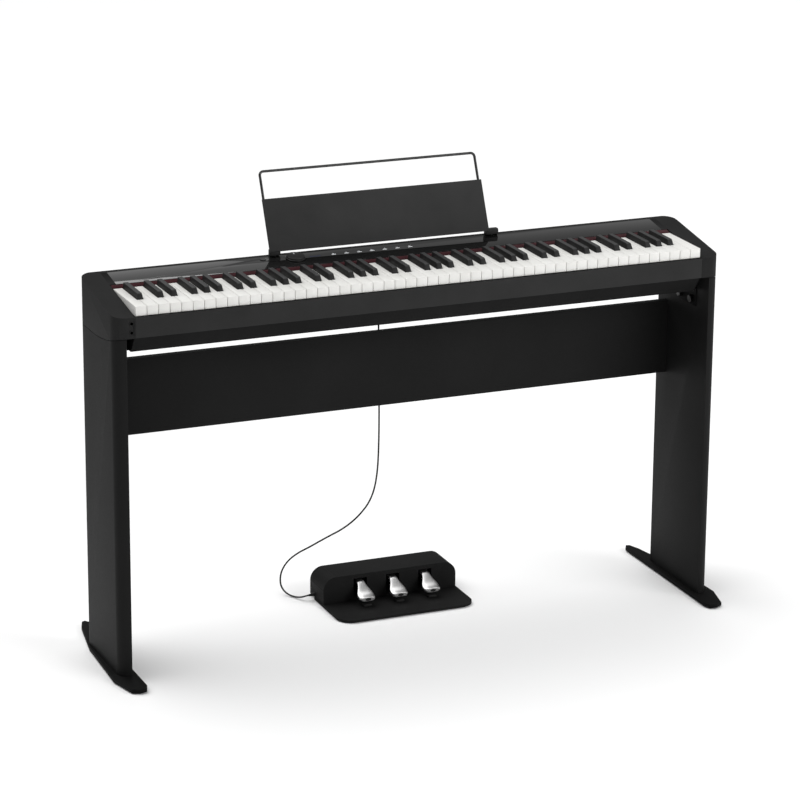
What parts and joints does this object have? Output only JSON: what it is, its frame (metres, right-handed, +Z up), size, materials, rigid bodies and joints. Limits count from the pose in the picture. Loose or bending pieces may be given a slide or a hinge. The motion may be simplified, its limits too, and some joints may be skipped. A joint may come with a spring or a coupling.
{
  "type": "digital piano on stand",
  "caption": "Slim full-width digital piano with weighted keys, music rest and rear board stand, with a separate triple pedal unit on its own cord.",
  "frame": {"origin": "on the floor, midway between the feet's tips and centred between the two legs", "axes": "+X along the keyboard towards the treble, +Y away from the player, +Z up"},
  "size_m": [1.34, 0.4269, 0.9453],
  "materials": {
    "case_black": "fine-grained matte black moulded plastic",
    "belly_black": "matte black moulded plastic",
    "rail_black": "matte charcoal moulded plastic",
    "gloss_panel": "high-gloss black acrylic",
    "red_felt": "woven burgundy felt strip",
    "green_felt": "green action felt",
    "chassis_grey": "grey zinc-coated steel",
    "bright_steel": "bright ground steel rod",
    "white_key": "satin off-white key plastic",
    "black_key": "matte black key plastic with fine texture",
    "control_black": "satin black moulded plastic",
    "icon_white": "printed pale touch marks",
    "lamp_blue": "blue lamp window",
    "board_green": "solder-masked circuit board",
    "speaker_black": "speaker frame and cone",
    "jack_metal": "plated socket bushings",
    "rest_black": "matte charcoal plate",
    "wire_black": "black coated wire",
    "rubber_black": "black rubber",
    "stand_black": "satin black laminated board",
    "steel_black": "black powder-coated steel",
    "screw_dark": "dark zinc screws",
    "pedal_case": "textured black moulded plastic",
    "pedal_metal": "satin silver cast pedals",
    "plug_black": "moulded black rubber",
    "cord_black": "black PVC cord"
  },
  "bodies": {
    "frame": {"cheek_left": "case_black", "cheek_right": "case_black", "lower_case": "belly_black", "top_shell": "case_black", "control_panel": "gloss_panel", "front_rail": "rail_black", "key_felt": "red_felt", "key_bed": "chassis_grey", "stop_felt": "green_felt", "hinge_rail": "chassis_grey", "hinge_rod": "bright_steel", "knob_encoder": "chassis_grey", "touch_icons": "icon_white", "status_lamp": "lamp_blue", "main_board": "board_green", "speaker_left": "speaker_black", "speaker_right": "speaker_black", "headphone_jacks": "jack_metal", "jack_plate": "case_black", "rear_jacks": "jack_metal", "leg_left": "stand_black", "leg_right": "stand_black", "foot_left": "steel_black", "foot_right": "steel_black", "rear_board": "stand_black", "bracket_left": "steel_black", "bracket_right": "steel_black", "stand_screws": "screw_dark", "foot_pads": "rubber_black", "pedal_base": "pedal_case", "pedal_hood": "pedal_case", "pedal_axle": "bright_steel", "pedal_bracket": "chassis_grey", "pedal_stops": "rubber_black", "base_pads": "rubber_black", "cord_gland": "plug_black", "pedal_plug": "plug_black", "pedal_cord": "cord_black"},
    "keys_a": {"keys_a": "white_key"},
    "keys_a_sharp": {"keys_a_sharp": "black_key"},
    "keys_b": {"keys_b": "white_key"},
    "keys_c": {"keys_c": "white_key"},
    "keys_c_sharp": {"keys_c_sharp": "black_key"},
    "keys_d": {"keys_d": "white_key"},
    "keys_d_sharp": {"keys_d_sharp": "black_key"},
    "keys_e": {"keys_e": "white_key"},
    "keys_f": {"keys_f": "white_key"},
    "keys_f_sharp": {"keys_f_sharp": "black_key"},
    "keys_g": {"keys_g": "white_key"},
    "keys_g_sharp": {"keys_g_sharp": "black_key"},
    "volume_knob": {"volume_knob": "control_black"},
    "power_button": {"power_button": "control_black"},
    "music_rest": {"rest_plate": "rest_black", "rest_wire": "wire_black", "rest_feet": "rubber_black"},
    "pedal_soft": {"pedal_soft": "pedal_metal"},
    "pedal_middle": {"pedal_middle": "pedal_metal"},
    "pedal_damper": {"pedal_damper": "pedal_metal"}
  },
  "joints": [
    {"name": "keys_a_press", "type": "hinge", "parent": "frame", "child": "keys_a", "pos_m": [0, 0.076, 0.7572], "axis": [1, 0, 0], "range_deg": [0, 2.8], "stiffness_Nm_per_rad": 8, "springref_deg": -11.46},
    {"name": "keys_a_sharp_press", "type": "hinge", "parent": "frame", "child": "keys_a_sharp", "pos_m": [0, 0.076, 0.7572], "axis": [1, 0, 0], "range_deg": [0, 2.8], "stiffness_Nm_per_rad": 6, "springref_deg": -11.46},
    {"name": "keys_b_press", "type": "hinge", "parent": "frame", "child": "keys_b", "pos_m": [0, 0.076, 0.7572], "axis": [1, 0, 0], "range_deg": [0, 2.8], "stiffness_Nm_per_rad": 8, "springref_deg": -11.46},
    {"name": "keys_c_press", "type": "hinge", "parent": "frame", "child": "keys_c", "pos_m": [0, 0.076, 0.7572], "axis": [1, 0, 0], "range_deg": [0, 2.8], "stiffness_Nm_per_rad": 8, "springref_deg": -11.46},
    {"name": "keys_c_sharp_press", "type": "hinge", "parent": "frame", "child": "keys_c_sharp", "pos_m": [0, 0.076, 0.7572], "axis": [1, 0, 0], "range_deg": [0, 2.8], "stiffness_Nm_per_rad": 6, "springref_deg": -11.46},
    {"name": "keys_d_press", "type": "hinge", "parent": "frame", "child": "keys_d", "pos_m": [0, 0.076, 0.7572], "axis": [1, 0, 0], "range_deg": [0, 2.8], "stiffness_Nm_per_rad": 8, "springref_deg": -11.46},
    {"name": "keys_d_sharp_press", "type": "hinge", "parent": "frame", "child": "keys_d_sharp", "pos_m": [0, 0.076, 0.7572], "axis": [1, 0, 0], "range_deg": [0, 2.8], "stiffness_Nm_per_rad": 6, "springref_deg": -11.46},
    {"name": "keys_e_press", "type": "hinge", "parent": "frame", "child": "keys_e", "pos_m": [0, 0.076, 0.7572], "axis": [1, 0, 0], "range_deg": [0, 2.8], "stiffness_Nm_per_rad": 8, "springref_deg": -11.46},
    {"name": "keys_f_press", "type": "hinge", "parent": "frame", "child": "keys_f", "pos_m": [0, 0.076, 0.7572], "axis": [1, 0, 0], "range_deg": [0, 2.8], "stiffness_Nm_per_rad": 8, "springref_deg": -11.46},
    {"name": "keys_f_sharp_press", "type": "hinge", "parent": "frame", "child": "keys_f_sharp", "pos_m": [0, 0.076, 0.7572], "axis": [1, 0, 0], "range_deg": [0, 2.8], "stiffness_Nm_per_rad": 6, "springref_deg": -11.46},
    {"name": "keys_g_press", "type": "hinge", "parent": "frame", "child": "keys_g", "pos_m": [0, 0.076, 0.7572], "axis": [1, 0, 0], "range_deg": [0, 2.8], "stiffness_Nm_per_rad": 8, "springref_deg": -11.46},
    {"name": "keys_g_sharp_press", "type": "hinge", "parent": "frame", "child": "keys_g_sharp", "pos_m": [0, 0.076, 0.7572], "axis": [1, 0, 0], "range_deg": [0, 2.8], "stiffness_Nm_per_rad": 6, "springref_deg": -11.46},
    {"name": "pedal_soft_press", "type": "hinge", "parent": "frame", "child": "pedal_soft", "pos_m": [-0.046, 0.164, 0.0395], "axis": [1, 0, 0], "range_deg": [0, 4], "stiffness_Nm_per_rad": 12, "springref_deg": -8.59},
    {"name": "pedal_middle_press", "type": "hinge", "parent": "frame", "child": "pedal_middle", "pos_m": [0.028, 0.164, 0.0395], "axis": [1, 0, 0], "range_deg": [0, 4], "stiffness_Nm_per_rad": 12, "springref_deg": -8.59},
    {"name": "pedal_damper_press", "type": "hinge", "parent": "frame", "child": "pedal_damper", "pos_m": [0.102, 0.164, 0.0395], "axis": [1, 0, 0], "range_deg": [0, 4], "stiffness_Nm_per_rad": 12, "springref_deg": -8.59},
    {"name": "volume_turn", "type": "hinge", "parent": "frame", "child": "volume_knob", "pos_m": [-0.208, 0.06675, 0.77947], "axis": [0, -0.153, 0.9882], "range_deg": [-150, 150]},
    {"name": "power_push", "type": "slide", "parent": "frame", "child": "power_button", "axis": [0, 0.153, -0.9882], "range_m": [0, 0.0012], "stiffness_N_per_m": 600, "springref_m": -0.002},
    {"name": "rest_lift", "type": "slide", "parent": "frame", "child": "music_rest", "axis": [0, 0, 1], "range_m": [0, 0.06]}
  ]
}
